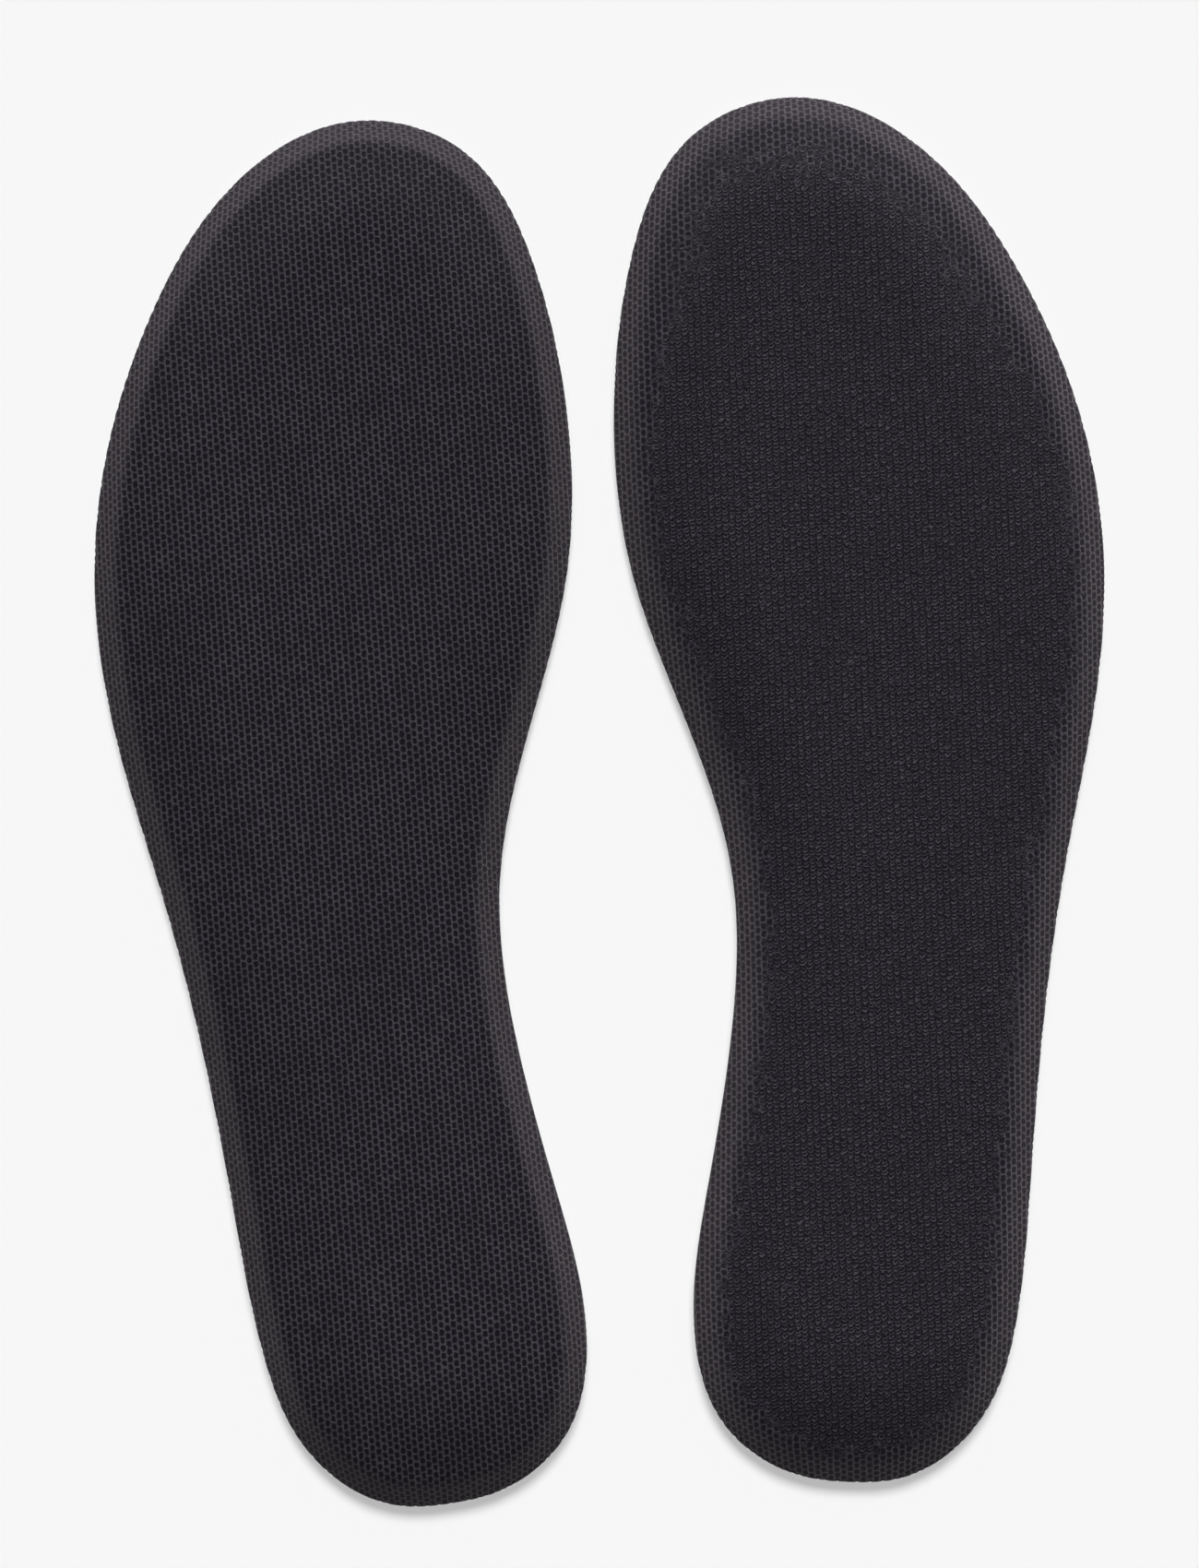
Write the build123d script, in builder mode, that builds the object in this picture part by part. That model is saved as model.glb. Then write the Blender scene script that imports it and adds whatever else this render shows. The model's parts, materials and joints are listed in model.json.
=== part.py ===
"""A pair of cushioned insoles, each a laminate of five layers cut to one foot-shaped outline.

Frame: +Z up, toes towards +Y. The left insole lies at -X, and the right one is its mirror image
across the plane X = 0. The origin is on the ground, in the middle of the pair's box.

Each insole bends at the ball of the foot. The layers that run its full length are therefore made
as a rear half and a forefoot half, which meet on an upright oblique plane, the flex plane.
"""

import os
from math import atan2, degrees

from build123d import *

# ---------------------------------------------------------------- driving dimensions, millimetres

length = 270.0  # heel end to toe end
backing_thickness = 0.5  # flat lining under the whole insole
blank_height = 14.0  # taller than any layer, trimmed to its top surface

# Each layer's top surface is a plane that falls from the heel end to the toe end, with a bevel all
# round: (height at the heel end, height at the toe end, bevel drop, bevel width, shoulder radius).
cover_top = (8.0, 6.0, 3.8, 4.5, 14.0)
cushion_top = (7.2, 5.2, 3.6, 4.4, 13.0)
base_top = (4.6, 2.4, 1.4, 3.5, 0.0)

# Heel pad: an oval let into the top of the base foam.
pad_centre_from_heel = 37.0
pad_centre_x = -42.5
pad_half_width = 20.5
pad_half_length = 27.0
pad_lean = -3.0  # degrees, along the heel's own centreline
pad_floor = 1.5  # height of the pocket's flat floor

# Flex line across the ball of the foot, as shares of the length from the heel end.
flex_outer_share = 0.63  # at the little-toe side
flex_inner_share = 0.73  # at the big-toe side
flex_outer_x = -98.0
flex_inner_x = -5.0
flex_gap = 0.3  # clearance between the two halves

# Outline of the left insole: (x, distance from the heel end), up the outer side from the heel to
# the toe, then back down the inner side. One smooth closed curve runs through the points.
outline = [
    (-43.0, 0.0),
    (-58.0, 4.3),
    (-68.0, 15.3),
    (-73.2, 30.0),
    (-77.8, 60.0),
    (-82.0, 90.0),
    (-88.0, 120.0),
    (-95.2, 150.0),
    (-98.3, 180.0),
    (-94.0, 210.0),
    (-84.2, 235.0),
    (-70.0, 256.0),
    (-43.5, 270.0),
    (-22.0, 263.0),
    (-9.5, 240.0),
    (-4.6, 210.0),
    (-6.3, 180.0),
    (-15.3, 150.0),
    (-22.7, 120.0),
    (-21.2, 90.0),
    (-15.0, 60.0),
    (-10.6, 30.0),
    (-15.3, 12.8),
    (-27.5, 2.8),
]


# ------------------------------------------------------------------------------------- geometry


def from_heel(distance):
    """The Y of a place so far from the heel end."""
    return distance - length / 2


def falling_plane(heel_height, toe_height):
    """The plane that has these heights above the heel end and the toe end."""
    slope = (heel_height - toe_height) / length
    middle = (heel_height + toe_height) / 2
    return Plane(origin=(0, 0, middle), x_dir=(1, 0, 0), z_dir=(0, slope, 1))


flex_outer = (flex_outer_x, from_heel(flex_outer_share * length))
flex_inner = (flex_inner_x, from_heel(flex_inner_share * length))
flex_angle = degrees(atan2(flex_inner[1] - flex_outer[1], flex_inner[0] - flex_outer[0]))
flex_plane = Plane(
    origin=(flex_outer[0], flex_outer[1], 0),
    x_dir=Vector(1, 0, 0).rotate(Axis.Z, flex_angle),
    z_dir=Vector(0, 1, 0).rotate(Axis.Z, flex_angle),
)


def blank(bottom, height):
    """A plain slab with the insole's outline."""
    with BuildPart() as slab:
        with BuildSketch(Plane.XY.offset(bottom)):
            with BuildLine():
                Spline(*[(x, from_heel(y)) for x, y in outline], periodic=True)
            make_face()
        extrude(amount=height)
    return slab.part


def stack_up_to(heel_height, toe_height, bevel_drop, bevel_width, shoulder_radius):
    """All that lies between the backing and a layer's bevelled top surface."""
    with BuildPart() as stack:
        add(blank(backing_thickness, blank_height))
        split(bisect_by=falling_plane(heel_height, toe_height), keep=Keep.BOTTOM)
        top = stack.faces().sort_by(Axis.Z)[-1]
        chamfer(top.edges(), length=bevel_width, length2=bevel_drop, reference=top)
        if shoulder_radius:
            shoulder = stack.faces().sort_by(Axis.Z)[-1].edges()
            fillet(shoulder, radius=shoulder_radius)
    return stack.part


def rear_half(whole):
    """The part of a full-length layer behind the flex plane."""
    with BuildPart() as half:
        add(whole)
        split(bisect_by=flex_plane.offset(-flex_gap / 2), keep=Keep.BOTTOM)
    return half.part


def forefoot_half(whole):
    """The part of a full-length layer in front of the flex plane."""
    with BuildPart() as half:
        add(whole)
        split(bisect_by=flex_plane.offset(flex_gap / 2), keep=Keep.TOP)
    return half.part


# ----------------------------------------------------------------------- layers of the left insole

up_to_cover = stack_up_to(*cover_top)
up_to_cushion = stack_up_to(*cushion_top)
up_to_base = stack_up_to(*base_top)

# Textile top cover: a thin skin over the cushion, moulded down over the bevel to the cut edge.
with BuildPart() as top_cover:
    add(up_to_cover)
    add(up_to_cushion, mode=Mode.SUBTRACT)

# Soft cushion foam between the cover and the base.
with BuildPart() as cushion_foam:
    add(up_to_cushion)
    add(up_to_base, mode=Mode.SUBTRACT)

# Oval shock-absorbing pad, flush with the top of the base foam.
with BuildPart() as heel_pad:
    pad_place = Plane(origin=(pad_centre_x, from_heel(pad_centre_from_heel), pad_floor))
    with BuildSketch(pad_place):
        Ellipse(pad_half_width, pad_half_length, rotation=pad_lean)
    extrude(amount=blank_height)
    add(up_to_base, mode=Mode.INTERSECT)

# Firmer base foam, thickest at the heel, with the pad's pocket in it.
with BuildPart() as base_foam:
    add(up_to_base)
    add(heel_pad.part, mode=Mode.SUBTRACT)

# Flat non-slip backing.
with BuildPart() as backing:
    add(blank(0, backing_thickness))

left_pieces = {
    "top_cover_rear": rear_half(top_cover.part),
    "top_cover_forefoot": forefoot_half(top_cover.part),
    "cushion_foam_rear": rear_half(cushion_foam.part),
    "cushion_foam_forefoot": forefoot_half(cushion_foam.part),
    "base_foam_rear": rear_half(base_foam.part),
    "base_foam_forefoot": forefoot_half(base_foam.part),
    "heel_pad": heel_pad.part,
    "backing_rear": rear_half(backing.part),
    "backing_forefoot": forefoot_half(backing.part),
}

# --------------------------------------------------------------------------- the pair, one file each

os.makedirs("parts", exist_ok=True)

for name, left_part in left_pieces.items():
    with BuildPart() as left_piece:
        add(left_part)
    left_piece.part.label = f"left_{name}"
    export_step(left_piece.part, f"parts/left_{name}.step")

    with BuildPart() as right_piece:
        mirror(left_part, about=Plane.YZ)
    right_piece.part.label = f"right_{name}"
    export_step(right_piece.part, f"parts/right_{name}.step")
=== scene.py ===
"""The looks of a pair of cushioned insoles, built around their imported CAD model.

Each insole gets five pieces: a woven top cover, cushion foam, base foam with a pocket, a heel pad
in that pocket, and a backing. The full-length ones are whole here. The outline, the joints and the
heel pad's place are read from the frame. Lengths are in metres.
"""

import json
import math

import bpy
import numpy as np
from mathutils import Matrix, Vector
from mathutils.geometry import delaunay_2d_cdt
from mathutils.kdtree import KDTree


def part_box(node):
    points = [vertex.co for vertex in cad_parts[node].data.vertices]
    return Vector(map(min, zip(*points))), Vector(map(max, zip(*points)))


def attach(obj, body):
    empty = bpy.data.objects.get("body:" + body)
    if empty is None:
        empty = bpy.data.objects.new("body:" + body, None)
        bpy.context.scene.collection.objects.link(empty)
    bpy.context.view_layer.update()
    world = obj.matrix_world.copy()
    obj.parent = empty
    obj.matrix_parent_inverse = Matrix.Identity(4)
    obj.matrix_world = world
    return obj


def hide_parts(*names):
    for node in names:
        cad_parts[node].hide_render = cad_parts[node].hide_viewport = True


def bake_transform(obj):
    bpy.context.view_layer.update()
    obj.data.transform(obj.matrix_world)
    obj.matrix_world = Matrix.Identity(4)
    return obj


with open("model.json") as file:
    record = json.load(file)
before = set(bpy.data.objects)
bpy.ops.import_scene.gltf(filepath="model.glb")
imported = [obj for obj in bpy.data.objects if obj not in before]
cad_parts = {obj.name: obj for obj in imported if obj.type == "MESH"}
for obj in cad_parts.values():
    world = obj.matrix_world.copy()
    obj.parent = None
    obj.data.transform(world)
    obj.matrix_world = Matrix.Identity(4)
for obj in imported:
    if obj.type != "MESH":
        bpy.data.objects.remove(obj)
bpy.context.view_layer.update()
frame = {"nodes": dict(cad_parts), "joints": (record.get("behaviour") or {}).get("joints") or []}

MM = 0.001

# --------------------------------------------------------------------------------------- the layers
# (height at the heel end, height at the toe end, drop at the cut edge) of each top surface

LENGTH = 270.0 * MM
COVER_TOP = (8.0 * MM, 6.0 * MM, 4.0 * MM)
CUSHION_TOP = (7.2 * MM, 5.2 * MM, 3.75 * MM)
BASE_TOP = (4.6 * MM, 2.4 * MM, 1.4 * MM)
BACKING_TOP = 0.5 * MM
BONDED = 0.02 * MM  # the hairline left between two bonded layers
FOAM_ROUNDING = 0.06 * MM  # of the corners of the cut edge
BACKING_ROUNDING = 0.05 * MM
POCKET_EDGE = 0.03 * MM  # from this far inside the CAD pad's outline, the pocket has its floor

# The cut edge rises in a steep bevel, turns over a shoulder, and ends in a soft crown. Each is
# (where its slope starts to ease, where it has gone, its slope), measured inwards from the edge.
BEVEL = {"left": (3.5 * MM, 5.7 * MM, 0.66), "right": (2.6 * MM, 6.8 * MM, 0.58)}
CROWN = {"left": (12.0 * MM, 25.0 * MM, 0.20), "right": (6.0 * MM, 25.0 * MM, 0.28)}
CROWN_END = 25.0 * MM

# ---------------------------------------------------------------------------------------- the weave
# Brick-like cells in columns that run along the insole, each column half a cell further on.

WEAVE = {
    "left": {"column": 1.19 * MM, "pitch": 1.51 * MM, "lean": 1.9, "row_tilt": 0.0},
    "right": {"column": 1.29 * MM, "pitch": 1.51 * MM, "lean": -0.8, "row_tilt": 0.9},
}
HOLE_DEPTH = 0.22 * MM
KNOT_HEIGHT = 0.05 * MM
WALL_SWAY = 0.07  # of a column's width, towards the bars that pull on it
LATTICE_HALF = (75.0 * MM, LENGTH * 0.6)  # enough cells each way to cover a leaning insole
NEAR_HALF = (52.0 * MM, LENGTH * 0.53)  # lattice points outside this box can't be on the insole
EDGE_MARGIN = 0.45 * MM  # no lattice point is nearer to the cut edge
RELIEF_FADE = (-1.0 * MM, 2.0 * MM)  # the dimples get shallower towards the cut edge

# The cut edge is rough: it stands out where yarns end, and is notched where it cuts a hole.
EDGE_BUMP = 0.12 * MM
EDGE_NOTCH = 1.6  # how deep the notches are, next to the bumps
HOLE_RADIUS = 0.3  # of a hole that the edge cuts, in cells
COVER_EDGE_ROUNDING = (0.16 * MM, 0.12 * MM)  # of its upper and its lower corner

# The moulding press made the bevel's cloth flat. Its lighter tone there is partly that and partly
# painted sheen.
PRESS_AND_SHEEN_LEAD = 0.4 * MM  # its mark starts to fade this far before the bevel starts to ease
# On the bevel the yarns also show lighter by this much, as part of the painted sheen.
BEVEL_CONTRAST_AND_SHEEN = 1.15  # the weave's contrast on the bevel, next to what it is elsewhere

# Round the toe, the cloth inside the bevel gets a share of that lighter tone: painted light on the
# crown there, which slopes towards the lamps. It comes in between two places along the insole, and
# fades between two distances from the edge.
TOE_PAINTED_LIGHT = {"left": 0.24, "right": 0.36}
TOE_PAINTED_LIGHT_ALONG = (82.0 * MM, 112.0 * MM)
TOE_PAINTED_LIGHT_INWARDS = (5.0 * MM, 21.0 * MM)

# The cloth was pulled tight over the edge. The pull eases inwards, and reaches further at the toe.
TAUT_INWARDS = (2.0 * MM, 11.0 * MM)
TAUT_FURTHER_AT_TOE = 9.0 * MM
TAUT_TOE_ALONG = (60.0 * MM, 110.0 * MM)

LINING_PITCH = 2.0 * MM  # from one raised diamond of the backing to the next, along its rows

# ------------------------------------------------------------------------- how fine the meshes are

ON_GROUND = 0.01 * MM  # the backing's corners below this give the outline
OUTLINE_POINTS = 2048
OUTLINE_HARMONICS = 48
PROFILE_STEPS = 700
COVER_RING = 1500
LAYER_RING = 760
BEVEL_RINGS = np.arange(0.9, 7.6, 0.9) * MM
GRID_STEP = 3.0 * MM
GRID_GAP = 1.6 * MM  # between the innermost ring and the grid

# ----------------------------------------------------------------------------------------- outline


def outline_of(side):
    """The insole's outline as a dense, smooth, closed row of points, anticlockwise."""
    corners = []
    for half in ("rear", "forefoot"):
        mesh = frame["nodes"][f"{side}_backing_{half}"].data
        corners += [(v.co.x, v.co.y) for v in mesh.vertices if v.co.z < ON_GROUND]
    corners = np.unique(np.round(np.array(corners), 6), axis=0)
    middle = (corners.min(0) + corners.max(0)) / 2
    around = np.arctan2(corners[:, 1] - middle[1], corners[:, 0] - middle[0])
    corners = corners[np.argsort(around)]
    closed = np.vstack([corners, corners[:1]])
    along = np.concatenate([[0], np.cumsum(np.hypot(*np.diff(closed, axis=0).T))])
    at = np.linspace(0, along[-1], OUTLINE_POINTS, endpoint=False)
    even = np.interp(at, along, closed[:, 0]) + 1j * np.interp(at, along, closed[:, 1])
    waves = np.fft.fft(even)
    waves[OUTLINE_HARMONICS:-OUTLINE_HARMONICS] = 0
    smooth = np.fft.ifft(waves)
    return np.stack([smooth.real, smooth.imag], axis=1)


class Outline:
    """An insole's outline, and how far any place is inside it."""

    def __init__(self, side):
        self.points = outline_of(side)
        self.profile = Profile(side)
        ahead, behind = np.roll(self.points, -1, 0), np.roll(self.points, 1, 0)
        tangent = ahead - behind
        tangent /= np.hypot(*tangent.T)[:, None]
        self.inward = np.stack([-tangent[:, 1], tangent[:, 0]], axis=1)
        self.finder = KDTree(OUTLINE_POINTS)
        for i, (x, y) in enumerate(self.points.tolist()):
            self.finder.insert((x, y, 0), i)
        self.finder.balance()

    def ring(self, count, inset=0.0):
        """count points round the outline, moved inwards by inset, which may be an array."""
        at = np.arange(count) * OUTLINE_POINTS / count
        low = at.astype(int)
        share = (at - low)[:, None]
        high = (low + 1) % OUTLINE_POINTS
        place = self.points[low] * (1 - share) + self.points[high] * share
        inward = self.inward[low] * (1 - share) + self.inward[high] * share
        return place + inward * np.broadcast_to(inset, (count,))[:, None]

    def depth(self, places):
        """How far inside the outline each place is (negative outside), and which way is inwards."""
        nearest = np.array([self.finder.find((x, y, 0))[1] for x, y in places.tolist()], int)
        inward = self.inward[nearest]
        gap = places - self.points[nearest]
        across = (gap * inward).sum(1)
        far = np.hypot(*gap.T)
        # Close to the outline, straight across is nearer the truth than to its nearest point.
        depth = np.where(across < 0, -1, 1) * np.where(far < MM, np.abs(across), far)
        return depth, inward


# ---------------------------------------------------------------------------------- layer surfaces


def smoothstep(x, low, high):
    t = np.clip((x - low) / (high - low), 0, 1)
    return t * t * (3 - 2 * t)


class Profile:
    """How the top surfaces fall towards the cut edge, added up from their slope."""

    def __init__(self, side):
        self.depth = np.linspace(0, CROWN_END, PROFILE_STEPS)
        slope = np.zeros(PROFILE_STEPS)
        for start, end, steepness in (BEVEL[side], CROWN[side]):
            slope += steepness * (1 - smoothstep(self.depth, start, end))
        step = self.depth[1]
        self.fall = np.cumsum(slope[::-1])[::-1] * step
        # The cloth is longer than its shadow on the ground, from the middle out, by this much.
        self.extra = np.cumsum((np.hypot(1, slope) - 1)[::-1])[::-1] * step

    def surface(self, layer, places, depth):
        """The height of a layer's top surface."""
        heel, toe, drop = layer
        flat = (heel + toe) / 2 - (heel - toe) / LENGTH * places[:, 1]
        fall = np.interp(depth, self.depth, self.fall, right=0)
        return flat - fall * drop / self.fall[0]

    def cloth_extra(self, depth):
        return np.interp(depth, self.depth, self.extra, right=0)


# ------------------------------------------------------------------------------------ mesh helpers


def triangulate(ring, inner):
    """Triangles over a closed ring and the points inside it, as index triples, anticlockwise."""
    points = [Vector(p) for p in np.vstack([ring, inner]).tolist()]
    edges = [(i, (i + 1) % len(ring)) for i in range(len(ring))]
    only_inside, together = 1, 1e-9
    found = delaunay_2d_cdt(points, edges, [], only_inside, together, False)
    if len(found[0]) != len(points):
        raise RuntimeError("two points of a layer fell together")
    faces = np.array(found[2], int)
    # The hollows outside the ring are filled too, and there the corners run backwards round it.
    on_ring = (faces < len(ring)).all(1)
    first, second, third = faces.T
    backwards = (second - first) % len(ring) > (third - first) % len(ring)
    return faces[~(on_ring & backwards)]


def new_piece(name, vertices, faces, material, weave_uv=None, shares=None):
    """A smooth mesh object that remembers where its points were at rest.

    shares holds more point attributes for the material, by name, each from 0 to 1.
    """
    mesh = bpy.data.meshes.new(name)
    mesh.from_pydata(vertices.tolist(), [], [list(map(int, f)) for f in faces])
    mesh.update()
    mesh.validate()
    rest = mesh.attributes.new("rest_place", "FLOAT_VECTOR", "POINT")
    rest.data.foreach_set("vector", vertices.astype(np.float32).ravel())
    for share, values in (shares or {}).items():
        mesh.attributes.new(share, "FLOAT", "POINT").data.foreach_set("value", values)
    if weave_uv is not None:
        layer = mesh.uv_layers.new(name="weave")
        corner = np.zeros(len(mesh.loops), int)
        mesh.loops.foreach_get("vertex_index", corner)
        layer.data.foreach_set("uv", weave_uv[corner].astype(np.float32).ravel())
    mesh.polygons.foreach_set("use_smooth", [True] * len(mesh.polygons))
    mesh.materials.append(material)
    piece = bpy.data.objects.new(name, mesh)
    bpy.context.scene.collection.objects.link(piece)
    return piece


def band(first, second, count):
    """Quads between two rings of vertices, the first one above the second."""
    here = np.arange(count)
    ahead = (here + 1) % count
    return np.stack([first + here, second + here, second + ahead, first + ahead], axis=1)


def renumber(faces, ring_size, first_of_ring, first_inner):
    """Moves a triangulation's indices to where its ring and its inner points are in the mesh."""
    return np.where(faces < ring_size, faces + first_of_ring, faces - ring_size + first_inner)


def closed_skin(rings, upper, lower, top, under):
    """(vertices, faces) of a closed form: bands between rings, one above another, and two lids.

    top and under are triangulations of the first and the last ring with the points inside them.
    """
    size = len(rings[0])
    first_upper = size * len(rings)
    first_lower = first_upper + len(upper)
    faces = renumber(top, size, 0, first_upper).tolist()
    for i in range(len(rings) - 1):
        faces += band(size * i, size * (i + 1), size).tolist()
    under = renumber(under, size, size * (len(rings) - 1), first_lower)
    faces += under[:, ::-1].tolist()
    return np.vstack([*rings, upper, lower]), faces


def plain_places(outline):
    """Places inside an outline for a plain surface: rings over the bevel, then a staggered grid."""
    low, high = outline.points.min(0), outline.points.max(0)
    rows = np.arange(low[1], high[1], GRID_STEP * math.sqrt(3) / 2)
    columns = np.arange(low[0], high[0], GRID_STEP)
    x, y = np.meshgrid(columns, rows)
    x[1::2] += GRID_STEP / 2
    grid = np.stack([x.ravel(), y.ravel()], axis=1)
    grid = grid[outline.depth(grid)[0] > BEVEL_RINGS[-1] + GRID_GAP]
    rings = [outline.ring(LAYER_RING // 2, inset) for inset in BEVEL_RINGS]
    return np.vstack([*rings, grid])


# ------------------------------------------------------------------------ the cover and the layers


def weave_basis(side):
    """The steps from one cell to the next: across the columns, and along one."""
    weave = WEAVE[side]
    lean, tilt = math.radians(weave["lean"]), math.radians(weave["row_tilt"])
    along = weave["pitch"] * np.array([-math.sin(lean), math.cos(lean)])
    across = weave["column"] / math.cos(lean) * np.array([1, math.tan(tilt)])
    return across, along


def weave_places(side, outline):
    """The lattice's points on the ground plan, with their height above the cloth's middle."""
    across, along = weave_basis(side)
    last_column = round(LATTICE_HALF[0] / across[0])
    last_row = round(LATTICE_HALF[1] / along[1])
    columns = np.arange(-last_column, last_column + 1)
    rows = np.arange(-last_row, last_row + 1)
    column, row = np.meshgrid(columns, rows)
    column, row = column.ravel().astype(float), row.ravel().astype(float)
    row = row + 0.5 * (column % 2)
    # Within a cell: (across, along, height). The walls between two columns stand at 0.5.
    cell = [
        (0.0, 0.0, -HOLE_DEPTH),
        (0.0, 0.5, 0.0),
        (0.5 + WALL_SWAY, 0.0, KNOT_HEIGHT),
        (0.5, 0.25, 0.0),
        (0.5 - WALL_SWAY, 0.5, KNOT_HEIGHT),
        (0.5, -0.25, 0.0),
    ]
    middle = (outline.points.min(0) + outline.points.max(0)) / 2
    places, heights = [], []
    for u, v, height in cell:
        places.append(middle + np.outer(column + u, across) + np.outer(row + v, along))
        heights.append(np.full(len(column), height))
    places, heights = np.concatenate(places), np.concatenate(heights)
    off_middle = np.abs(places - [middle[0], 0])
    near = (off_middle < NEAR_HALF).all(1)
    return places[near], heights[near], middle


def cloth_to_ground(outline, places):
    """Moves places on the flattened cloth to where they lie on the bevel, seen from above."""
    flat_depth, inward = outline.depth(places)
    profile = outline.profile
    depth = np.interp(flat_depth, profile.depth - profile.extra, profile.depth, left=-1)
    depth = np.where(flat_depth > CROWN_END, flat_depth, depth)
    return places + inward * profile.cloth_extra(depth)[:, None], depth


def ground_to_cells(side, outline, places, middle):
    """Cell coordinates (across, along) of places on the ground plan."""
    depth, inward = outline.depth(places)
    cloth = places - inward * outline.profile.cloth_extra(depth)[:, None] - middle
    across, along = weave_basis(side)
    return cloth @ np.linalg.inv(np.stack([across, along]))


def cell_height(cells):
    """The weave's height at cell coordinates, from -1 in a hole's middle up to 0 on the net."""
    column = np.floor(cells[:, 0] + 0.5)
    u = cells[:, 0] - column
    v = cells[:, 1] - 0.5 * (column % 2)
    v = v - np.floor(v + 0.5)
    return -np.exp(-((u / HOLE_RADIUS) ** 2 + (v / HOLE_RADIUS) ** 2))


def press_and_light_share(side, vertices, depth):
    """The share of the lighter look: press and painted sheen on the bevel, painted light round the
    toe.
    """
    start, end, _ = BEVEL[side]
    bevel = 1 - smoothstep(depth, start - PRESS_AND_SHEEN_LEAD, end)
    # Round the toe the share is painted light on the crown.
    toe = smoothstep(vertices[:, 1], *TOE_PAINTED_LIGHT_ALONG)
    toe = toe * (1 - smoothstep(depth, *TOE_PAINTED_LIGHT_INWARDS))
    return np.maximum(bevel, toe * TOE_PAINTED_LIGHT[side])


def taut_cloth(vertices, depth):
    """How tightly the cloth was pulled over the edge. It is tight further in round the toe."""
    toe = smoothstep(vertices[:, 1], *TAUT_TOE_ALONG)
    start, end = TAUT_INWARDS
    return 1 - smoothstep(depth, start, end + TAUT_FURTHER_AT_TOE * toe)


def top_cover(side, outline, material):
    """The woven cloth: its cells are real dimples, and its cut edge is rough with yarn ends."""
    surface = outline.profile.surface
    cloth, height, middle = weave_places(side, outline)
    places, depth = cloth_to_ground(outline, cloth)
    keep = depth > EDGE_MARGIN
    places, height, depth = places[keep], height[keep], depth[keep]

    edge = outline.ring(COVER_RING)
    rough = cell_height(ground_to_cells(side, outline, edge, middle))
    out = EDGE_BUMP * (1 + EDGE_NOTCH * rough)
    round_top, round_bottom = COVER_EDGE_ROUNDING
    at_edge = np.zeros(COVER_RING)
    top_z = surface(COVER_TOP, edge, at_edge)
    under_z = surface(CUSHION_TOP, edge, at_edge) + BONDED
    rings = []
    for rounding, share in ((round_top, 0.0), (0.0, 0.2), (0.0, 0.8), (round_bottom, 1.0)):
        z = top_z * (1 - share) + under_z * share
        rings.append(np.column_stack([outline.ring(COVER_RING, rounding - out), z]))

    upper_z = surface(COVER_TOP, places, depth) + height * smoothstep(depth, *RELIEF_FADE)
    upper = np.column_stack([places, upper_z])
    top = triangulate(rings[0][:, :2], places)
    lower_places = plain_places(outline)
    lower_depth = outline.depth(lower_places)[0]
    lower_z = surface(CUSHION_TOP, lower_places, lower_depth) + BONDED
    lower = np.column_stack([lower_places, lower_z])
    under = triangulate(rings[-1][:, :2], lower_places)
    vertices, faces = closed_skin(rings, upper, lower, top, under)

    cells = ground_to_cells(side, outline, vertices[:, :2], middle)
    depth = outline.depth(vertices[:, :2])[0]
    # press_and_light marks the bevel's press look with its painted sheen, and the painted light
    # round the toe.
    shares = {"press_and_light": press_and_light_share(side, vertices, depth), "taut": taut_cloth(vertices, depth)}
    return new_piece(f"{side}_top_cover", vertices, faces, material, cells, shares)


def layer(name, outline, top, bottom, material, rounding, pad=None):
    """A full-length layer between two surfaces, with a rounded cut edge.

    top and bottom are functions of (places, depth). pad is what its pocket holds, if it has one.
    """
    edge = outline.ring(LAYER_RING)
    at_edge = np.zeros(LAYER_RING)
    high, low = top(edge, at_edge), bottom(edge, at_edge)
    rings = []
    for inset, share in ((rounding, 0.0), (0.0, 0.25), (0.0, 0.75), (rounding, 1.0)):
        z = high * (1 - share) + low * share
        rings.append(np.column_stack([outline.ring(LAYER_RING, inset), z]))
    inner = plain_places(outline)
    if pad is not None:
        inner = np.vstack([inner[pad.clear_of_wall(inner)], pad.wall_places()])
    depth = outline.depth(inner)[0]
    triangles = triangulate(rings[0][:, :2], inner)
    upper = np.column_stack([inner, top(inner, depth)])
    lower = np.column_stack([inner, bottom(inner, depth)])
    vertices, faces = closed_skin(rings, upper, lower, triangles, triangles)
    return new_piece(name, vertices, faces, material)


# --------------------------------------------------------------------------------------- materials


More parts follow.
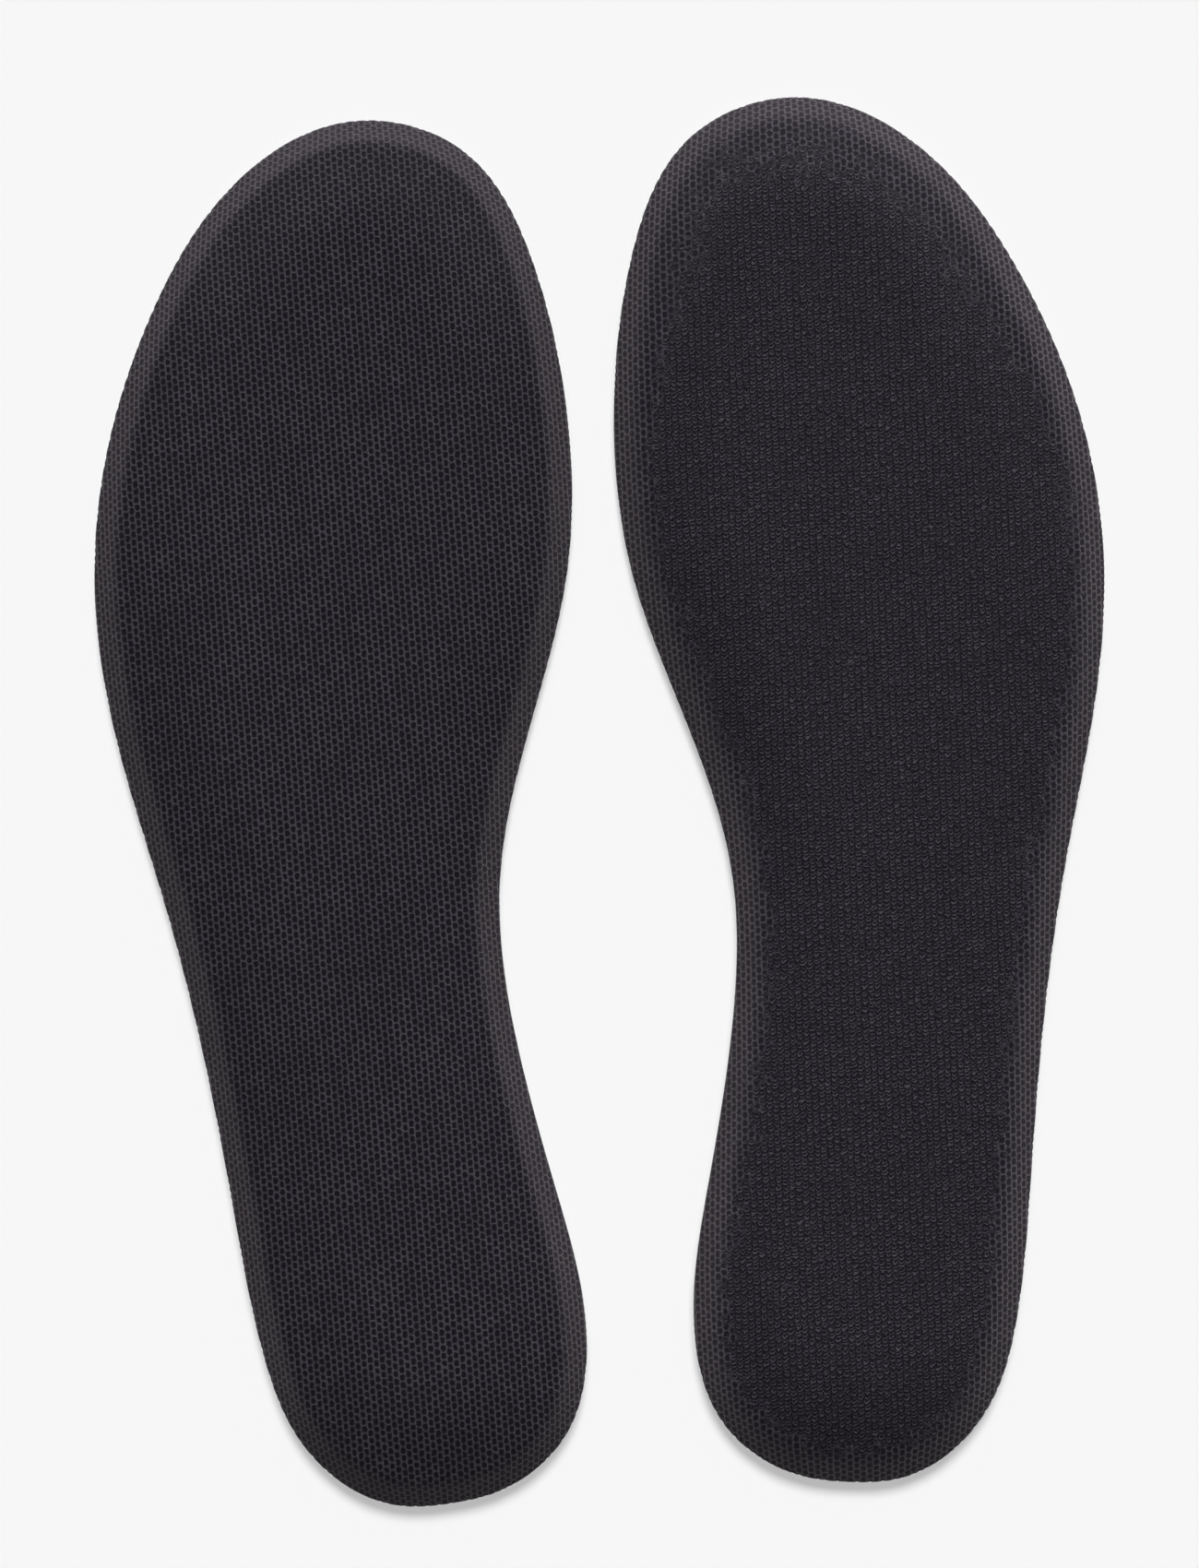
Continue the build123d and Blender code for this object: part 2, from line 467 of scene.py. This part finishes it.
class Nodes:
    """Short ways to wire a material's nodes."""

    def __init__(self, name):
        self.material = bpy.data.materials.new(name)
        self.material.use_nodes = True
        self.tree = self.material.node_tree
        self.shader = next(n for n in self.tree.nodes if n.type == "BSDF_PRINCIPLED")

    def put(self, socket, value):
        if isinstance(value, bpy.types.NodeSocket):
            self.tree.links.new(value, socket)
        else:
            socket.default_value = value

    def maths(self, operation, *values):
        node = self.tree.nodes.new("ShaderNodeMath")
        node.operation = operation
        for socket, value in zip(node.inputs, values):
            self.put(socket, value)
        return node.outputs[0]

    def attribute(self, name, output):
        node = self.tree.nodes.new("ShaderNodeAttribute")
        node.attribute_name = name
        return node.outputs[output]

    def place(self):
        return self.attribute("rest_place", "Vector")

    def noise(self, scale, detail=2.0, roughness=0.5):
        node = self.tree.nodes.new("ShaderNodeTexNoise")
        node.inputs["Scale"].default_value = scale
        node.inputs["Detail"].default_value = detail
        node.inputs["Roughness"].default_value = roughness
        self.put(node.inputs["Vector"], self.place())
        return node.outputs["Fac"]

    def wobble(self, scale, detail, size):
        """Noise round zero, of this size."""
        return self.maths("MULTIPLY", self.maths("SUBTRACT", self.noise(scale, detail), 0.5), size)

    def cells(self, scale):
        node = self.tree.nodes.new("ShaderNodeTexVoronoi")
        node.inputs["Scale"].default_value = scale
        self.put(node.inputs["Vector"], self.place())
        return node.outputs["Distance"]

    def span(self, value, low, high, out_low=0.0, out_high=1.0, smooth=True):
        node = self.tree.nodes.new("ShaderNodeMapRange")
        node.interpolation_type = "SMOOTHSTEP" if smooth else "LINEAR"
        for socket, number in zip(node.inputs, (value, low, high, out_low, out_high)):
            self.put(socket, number)
        return node.outputs[0]

    def mix(self, share, first, second):
        node = self.tree.nodes.new("ShaderNodeMix")
        node.data_type = "RGBA"
        self.put(node.inputs["Factor"], share)
        colours = [s for s in node.inputs if s.type == "RGBA"]
        self.put(colours[0], first)
        self.put(colours[1], second)
        return next(s for s in node.outputs if s.type == "RGBA")

    def bump(self, height, distance, strength):
        node = self.tree.nodes.new("ShaderNodeBump")
        node.inputs["Strength"].default_value = strength
        node.inputs["Distance"].default_value = distance
        self.put(node.inputs["Height"], height)
        self.put(self.shader.inputs["Normal"], node.outputs["Normal"])

    def finish(self, **values):
        for name, value in values.items():
            self.put(self.shader.inputs[name.replace("_", " ")], value)
        return self.material


def weave_cell(n, sway, taut):
    """(column, row) of the weave's cell, and (across, along) inside it from -0.5 to 0.5."""
    uv = n.tree.nodes.new("ShaderNodeUVMap")
    uv.uv_map = "weave"
    split = n.tree.nodes.new("ShaderNodeSeparateXYZ")
    n.put(split.inputs[0], uv.outputs[0])
    wander = n.wobble(900, 2.0, n.span(taut, 0, 1, *sway, False))
    across = n.maths("ADD", split.outputs[0], wander)
    column = n.maths("FLOOR", n.maths("ADD", across, 0.5))
    u = n.maths("SUBTRACT", across, column)
    shift = n.maths("MULTIPLY", n.maths("FLOORED_MODULO", column, 2.0), 0.5)
    down = n.maths("SUBTRACT", n.maths("ADD", split.outputs[1], wander), shift)
    row = n.maths("FLOOR", n.maths("ADD", down, 0.5))
    return column, row, u, n.maths("SUBTRACT", down, row)


def open_net(n, u, v):
    """The net round the cells' oval holes: 0 in a hole, 1 on the net."""
    half_width, half_length, squareness = 0.36, 0.385, 2.6
    wide = n.maths("POWER", n.maths("DIVIDE", n.maths("ABSOLUTE", u), half_width), squareness)
    long = n.maths("POWER", n.maths("DIVIDE", n.maths("ABSOLUTE", v), half_length), squareness)
    return n.span(n.maths("ADD", wide, long), 0.4, 2.3)


def knitted_loops(n, u, v):
    """Knitted loops: a bright bow, a dark eye above it, and a fainter bow above that."""
    curve, lean = 1.8, 0.1
    low_at, high_at, high_light = 0.26, 0.22, 0.65
    bow = n.maths("MULTIPLY", n.maths("MULTIPLY", u, u), curve)
    bowed = n.maths("SUBTRACT", v, n.maths("ADD", bow, n.maths("MULTIPLY", u, lean)))
    low_bow = n.span(n.maths("ABSOLUTE", n.maths("ADD", bowed, low_at)), 0.17, 0.03)
    high_bow = n.span(n.maths("ABSOLUTE", n.maths("SUBTRACT", bowed, high_at)), 0.15, 0.02)
    loops = n.maths("MAXIMUM", low_bow, n.maths("MULTIPLY", high_bow, high_light))
    return n.maths("MULTIPLY", loops, n.span(n.maths("ABSOLUTE", u), 0.53, 0.27))


def random_by_cell(n, column, row):
    key = n.tree.nodes.new("ShaderNodeCombineXYZ")
    n.put(key.inputs[0], column)
    n.put(key.inputs[1], row)
    random = n.tree.nodes.new("ShaderNodeTexWhiteNoise")
    random.noise_dimensions = "2D"
    n.put(random.inputs["Vector"], key.outputs[0])
    return random.outputs["Value"]


def woven_cloth(name, net_light, loop_light, bevel_lift_and_sheen, unevenness, grain, sway, hole, yarns):
    """Black woven cloth, which shows as an open net, or as knitted loops that hide the net.

    net_light and loop_light say how brightly they show, and sway how far the yarns wander, in
    cells, each where the cloth is slack and where it is taut. bevel_lift_and_sheen is added on the
    bevel: partly the press's lighter holes, partly painted sheen. unevenness is how far the cells
    differ, and grain how far the fibres do. hole is the colour down between the yarns, and yarns
    are the cool, the warm and the lighter yarn colour of the bevel and the toe, which is painted
    sheen on the bevel and painted light round the toe.
    """
    n = Nodes(name)
    taut = n.attribute("taut", "Fac")
    # The bevel's press look with painted sheen, and painted light round the toe.
    press_and_light = n.attribute("press_and_light", "Fac")
    column, row, u, v = weave_cell(n, sway, taut)

    # Cell by cell and patch by patch, the pull on the cloth opens its loops up into the net.
    uneven_pull = n.maths("ADD", n.wobble(560, 1.0, 1.5), n.wobble(130, 1.0, 0.7))
    opened = n.span(n.maths("ADD", taut, uneven_pull), 0.3, 0.7)
    net = n.maths("MULTIPLY", open_net(n, u, v), n.span(opened, 0, 1, *net_light, False))
    loops = n.maths("MULTIPLY", knitted_loops(n, u, v), n.span(opened, 0, 1, *loop_light, False))
    yarns_show = n.maths("ADD", net, loops)

    # Most cells are alike and a few are lighter, and the fibres vary the tone further.
    rare = n.maths("POWER", random_by_cell(n, column, row), 3.0)
    odd = n.span(rare, 0, 1, 1 - unevenness * 0.6, 1 + unevenness * 1.4, False)
    fibre = n.noise(3300, 3.0, 0.65)
    fibres = n.span(fibre, 0.3, 0.7, 0.95 - grain, 0.95 + grain, False)
    yarns_show = n.maths("MULTIPLY", n.maths("MULTIPLY", yarns_show, odd), fibres)
    # Here and there a yarn end catches the light.
    glint = n.span(n.noise(2400, 1.0), 0.58, 0.72, 1.0, 2.0)
    yarns_show = n.maths("MULTIPLY", yarns_show, glint)
    # The press makes the weave flat on the bevel, so the holes are lighter there too. That lift is
    # also painted sheen on the bevel, and painted light round the toe.
    contrast_and_sheen = n.span(press_and_light, 0, 1, 1.0, BEVEL_CONTRAST_AND_SHEEN, False)
    lift_and_sheen = n.maths("MULTIPLY", press_and_light, bevel_lift_and_sheen)
    shade = n.maths("ADD", n.maths("MULTIPLY", yarns_show, contrast_and_sheen), lift_and_sheen)
    patchy = n.span(n.noise(60, 3.0), 0.3, 0.7, 0.88, 1.12, False)
    shade = n.maths("MULTIPLY", shade, patchy)

    height = n.maths("ADD", n.maths("MULTIPLY", yarns_show, 0.8), n.maths("MULTIPLY", fibre, 0.35))
    n.bump(height, 0.18 * MM, 0.9)
    cool, warm, press_and_sheen_yarn = yarns
    yarn = n.mix(n.span(n.noise(420, 2.0), 0.35, 0.65), cool, warm)
    # Painted sheen: a lighter yarn colour on the bevel, and painted light round the toe.
    yarn = n.mix(press_and_light, yarn, press_and_sheen_yarn)
    return n.finish(
        Base_Color=n.mix(shade, hole, yarn),
        Roughness=0.5,
        Specular_IOR_Level=0.02,
        Sheen_Weight=0.15,
        Sheen_Roughness=0.4,
        Sheen_Tint=(0.95, 0.88, 1.0, 1),
    )


def foam(name, dark, light, pore, roughness):
    """Foam, cut at the edge: fine open pores, with a slow change of tone."""
    n = Nodes(name)
    pores = n.span(n.cells(1 / pore), 0.05, 0.5)
    grain = n.noise(0.4 / pore, 3.0, 0.6)
    tone = n.maths("MULTIPLY", pores, n.span(grain, 0.3, 0.7, 0.7, 1.0, False))
    n.bump(n.maths("ADD", pores, grain), 0.3 * pore, 0.8)
    colour = n.mix(tone, dark, light)
    return n.finish(Base_Color=colour, Roughness=roughness, Specular_IOR_Level=0.3)


def gel(name):
    """The heel pad's soft gel: satin, faintly cloudy, with a fine moulded grain."""
    n = Nodes(name)
    cloud = n.span(n.noise(160, 3.0), 0.3, 0.7)
    grain = n.noise(3000, 2.0)
    n.bump(grain, 0.04 * MM, 0.6)
    return n.finish(
        Base_Color=n.mix(cloud, (0.03, 0.045, 0.07, 1), (0.06, 0.085, 0.12, 1)),
        Roughness=n.span(grain, 0.3, 0.7, 0.3, 0.42),
        Specular_IOR_Level=0.5,
    )


def lining(name):
    """The backing: a thin, brushed, non-slip cloth with a fine grid of raised diamonds."""
    n = Nodes(name)
    place = n.tree.nodes.new("ShaderNodeSeparateXYZ")
    n.put(place.inputs[0], n.place())
    x, y = place.outputs[0], place.outputs[1]
    turns = math.pi / LINING_PITCH
    rib = n.maths("SINE", n.maths("MULTIPLY", n.maths("ADD", x, y), turns))
    cross = n.maths("SINE", n.maths("MULTIPLY", n.maths("SUBTRACT", x, y), turns))
    diamonds = n.span(n.maths("ABSOLUTE", n.maths("MULTIPLY", rib, cross)), 0.15, 0.65)
    fluff = n.noise(2600, 4.0, 0.65)
    patch = n.noise(70, 3.0)
    tone = n.maths("ADD", n.maths("MULTIPLY", diamonds, 0.5), n.maths("MULTIPLY", fluff, 0.6))
    tone = n.maths("MULTIPLY", tone, n.span(patch, 0.3, 0.7, 0.8, 1.1, False))
    n.bump(tone, 0.15 * MM, 0.9)
    return n.finish(
        Base_Color=n.mix(tone, (0.006, 0.006, 0.0065, 1), (0.052, 0.051, 0.056, 1)),
        Roughness=0.8,
        Specular_IOR_Level=0.06,
    )


def studio_floor():
    n = Nodes("studio_floor")
    return n.finish(Base_Color=(0.86, 0.86, 0.86, 1), Roughness=0.9, Specular_IOR_Level=0.1)


CLOTH = {
    "left": woven_cloth(
        "cover_textile_left",
        net_light=(1.0, 1.0),
        loop_light=(0.0, 0.0),
        # The bevel's lift: lighter holes from the press, and painted sheen.
        bevel_lift_and_sheen=0.28,
        unevenness=0.45,
        grain=0.55,
        sway=(0.42, 0.42),
        hole=(0.0068, 0.0059, 0.0086, 1),
        yarns=(
            (0.0465, 0.0418, 0.0530, 1),
            (0.0485, 0.0440, 0.0492, 1),
            (0.0520, 0.0462, 0.0520, 1),
        ),
    ),
    "right": woven_cloth(
        "cover_textile_right",
        net_light=(0.0, 0.76),
        loop_light=(1.0, 0.0),
        # The bevel's lift: lighter holes from the press, and painted sheen.
        bevel_lift_and_sheen=0.18,
        unevenness=0.32,
        grain=0.85,
        sway=(0.85, 0.32),
        hole=(0.0088, 0.0078, 0.0106, 1),
        yarns=(
            (0.0620, 0.0557, 0.0720, 1),
            (0.0640, 0.0580, 0.0660, 1),
            (0.0710, 0.0630, 0.0705, 1),
        ),
    ),
}
CUSHION_FOAM = foam(
    "cushion_foam",
    dark=(0.012, 0.012, 0.013, 1),
    light=(0.04, 0.04, 0.044, 1),
    pore=0.35 * MM,
    roughness=0.9,
)
BASE_FOAM = foam(
    "base_foam",
    dark=(0.008, 0.008, 0.009, 1),
    light=(0.026, 0.026, 0.028, 1),
    pore=0.22 * MM,
    roughness=0.8,
)
GEL = gel("pad_gel")
LINING = lining("backing_textile")


# ---------------------------------------------------------------------------------------- heel pad


class HeelPad:
    """The oval pad: its place and size come from the CAD pad's box."""

    CLEAR = 0.12 * MM  # between the pad and its pocket's wall, and half of it above the floor
    RING = 120
    INNER_RINGS = 8
    FEWEST = 8  # points in an inner ring
    # (inset from the side in mm, share of the height) of each ring, from the floor up.
    SIDE = (
        (1.2, 0.0),
        (0.5, 0.04),
        (0.12, 0.16),
        (0.0, 0.32),
        (0.0, 0.68),
        (0.12, 0.84),
        (0.5, 0.96),
        (1.2, 1.0),
    )
    # Rings of points that carry the pocket's steep wall, and how near no other point may come.
    WALL_RINGS = (-0.9 * MM, 0.0, 0.06 * MM, 0.9 * MM)
    WALL_MARGIN = 1.6 * MM

    def __init__(self, side):
        low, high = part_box(f"{side}_heel_pad")
        self.middle = np.array([(low.x + high.x) / 2, (low.y + high.y) / 2])
        self.half = np.array([(high.x - low.x) / 2, (high.y - low.y) / 2])
        self.floor = low.z

    def ring(self, count, inset):
        turn = np.linspace(0, 2 * math.pi, count, endpoint=False)
        return self.middle + np.stack([np.cos(turn), np.sin(turn)], axis=1) * (self.half - inset)

    def inside(self, places, inset):
        return (((places - self.middle) / (self.half - inset)) ** 2).sum(1) < 1

    def wall_places(self):
        return np.vstack([self.ring(self.RING, inset) for inset in self.WALL_RINGS])

    def clear_of_wall(self, places):
        near_or_in = self.inside(places, -self.WALL_MARGIN)
        well_in = self.inside(places, self.WALL_MARGIN)
        return ~near_or_in | well_in

    def inner_places(self):
        """Smaller and smaller rings with fewer and fewer points, and the middle."""
        places = []
        for k in range(1, self.INNER_RINGS + 1):
            count = max(self.FEWEST, int(self.RING * (1 - k / (self.INNER_RINGS + 1))))
            inset = self.CLEAR + k * self.half[0] / (self.INNER_RINGS + 1.5)
            places.append(self.ring(count, inset))
        return np.vstack([*places, self.middle])

    def make(self, side, surface):
        """A rounded oval slab, a little smaller than its pocket."""
        bottom = self.floor + self.CLEAR / 2
        rings = []
        for inset, share in reversed(self.SIDE):
            flat = self.ring(self.RING, self.CLEAR + inset * MM)
            top = surface(BASE_TOP, flat, np.full(self.RING, CROWN_END)) - BONDED
            rings.append(np.column_stack([flat, bottom + (top - bottom) * share]))
        inner = self.inner_places()
        lid = triangulate(rings[0][:, :2], inner)
        top_z = surface(BASE_TOP, inner, np.full(len(inner), CROWN_END)) - BONDED
        upper = np.column_stack([inner, top_z])
        lower = np.column_stack([inner, np.full(len(inner), bottom)])
        vertices, faces = closed_skin(rings, upper, lower, lid, lid)
        return new_piece(f"{side}_heel_pad_gel", vertices, faces, GEL)


# -------------------------------------------------------------------------------------- one insole


def build_insole(side):
    outline = Outline(side)
    pad = HeelPad(side)
    surface = outline.profile.surface

    def cushion_top(places, depth):
        return surface(CUSHION_TOP, places, depth)

    def base_top(places, depth):
        return surface(BASE_TOP, places, depth)

    def above_base(places, depth):
        return base_top(places, depth) + BONDED

    def base_with_pocket(places, depth):
        return np.where(pad.inside(places, POCKET_EDGE), pad.floor, base_top(places, depth))

    def above_backing(places, depth):
        return np.full(len(places), BACKING_TOP + BONDED)

    def backing_top(places, depth):
        return np.full(len(places), BACKING_TOP)

    def ground(places, depth):
        return np.zeros(len(places))

    cover = top_cover(side, outline, CLOTH[side])
    cushion = layer(
        f"{side}_cushion", outline, cushion_top, above_base, CUSHION_FOAM, FOAM_ROUNDING
    )
    base = layer(
        f"{side}_base", outline, base_with_pocket, above_backing, BASE_FOAM, FOAM_ROUNDING, pad
    )
    backing = layer(f"{side}_backing", outline, backing_top, ground, LINING, BACKING_ROUNDING)
    gel_pad = pad.make(side, surface)

    for piece, node, slot in (
        (cover, "top_cover", "cover_textile"),
        (cushion, "cushion_foam", "cushion_foam"),
        (base, "base_foam", "base_foam"),
        (backing, "backing", "backing_textile"),
    ):
        bend_at_ball(piece, side)
        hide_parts(f"{side}_{node}_rear", f"{side}_{node}_forefoot")
    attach(gel_pad, f"{side}_rear")
    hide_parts(f"{side}_heel_pad")


def bend_at_ball(piece, side):
    """Bakes the piece's place into its mesh. It reads the flex line's forward direction from the
    joint, but doesn't use it.
    """
    joint = next(j for j in frame["joints"] if j["name"] == f"{side}_ball_flex")
    forwards = Vector((0, 0, 1)).cross(Vector(joint["axis"])).normalized()
    forwards.z = 0
    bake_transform(piece)


for insole in ("left", "right"):
    build_insole(insole)


# --------------------------------------------------------------------------------- floor and light


def floor_plane():
    mesh = bpy.data.meshes.new("floor")
    half = 3.0
    z = -0.02 * MM  # just under the insoles
    corners = [(-half, -half, z), (half, -half, z), (half, half, z), (-half, half, z)]
    mesh.from_pydata(corners, [], [(0, 1, 2, 3)])
    mesh.materials.append(studio_floor())
    floor = bpy.data.objects.new("floor", mesh)
    bpy.context.scene.collection.objects.link(floor)


def soft_sun(name, bearing, elevation, spread, strength):
    """Even light from a bearing, anticlockwise from +X, and an elevation, all in degrees."""
    lamp = bpy.data.lights.new(name, "SUN")
    lamp.energy = strength
    lamp.angle = math.radians(spread)
    light = bpy.data.objects.new(name, lamp)
    bpy.context.scene.collection.objects.link(light)
    light.rotation_euler = (math.radians(90 - elevation), 0, math.radians(bearing + 90))
    return lamp


def studio():
    floor_plane()
    # The key makes the shadow below the heels. The low lights only graze the bevels and the weave.
    soft_sun("key_above_toes", bearing=84, elevation=53, spread=24, strength=2.0)
    low_lights = (
        ("low_right_toes", 58, 4.2),
        ("low_left_toes", 108, 4.2),
        ("low_right", 352, 1.7),
        ("low_left", 184, 1.2),
    )
    for name, bearing, strength in low_lights:
        low = soft_sun(name, bearing, elevation=8, spread=16, strength=strength)
        low.use_shadow = False
    world = bpy.data.worlds.new("studio_air")
    world.use_nodes = True
    background = world.node_tree.nodes["Background"]
    background.inputs["Color"].default_value = (1, 1, 1, 1)
    background.inputs["Strength"].default_value = 0.07
    bpy.context.scene.world = world
    bpy.context.scene.view_settings.view_transform = "Standard"


def camera():
    """Looks straight down through a long lens, turned so that the pair leans to the left."""
    lens, sensor, view_height = 100.0, 36.0, 0.3054
    turn = math.radians(-3.107)
    aim = Vector((-2.17 * MM, 3.41 * MM, 3.0 * MM))
    data = bpy.data.cameras.new("camera")
    data.lens = lens
    data.sensor_width = sensor
    eye = bpy.data.objects.new("camera", data)
    bpy.context.scene.collection.objects.link(eye)
    eye.location = aim + Vector((0, 0, view_height * lens / sensor))
    eye.rotation_euler = (0, 0, turn)
    bpy.context.scene.camera = eye


studio()
camera()
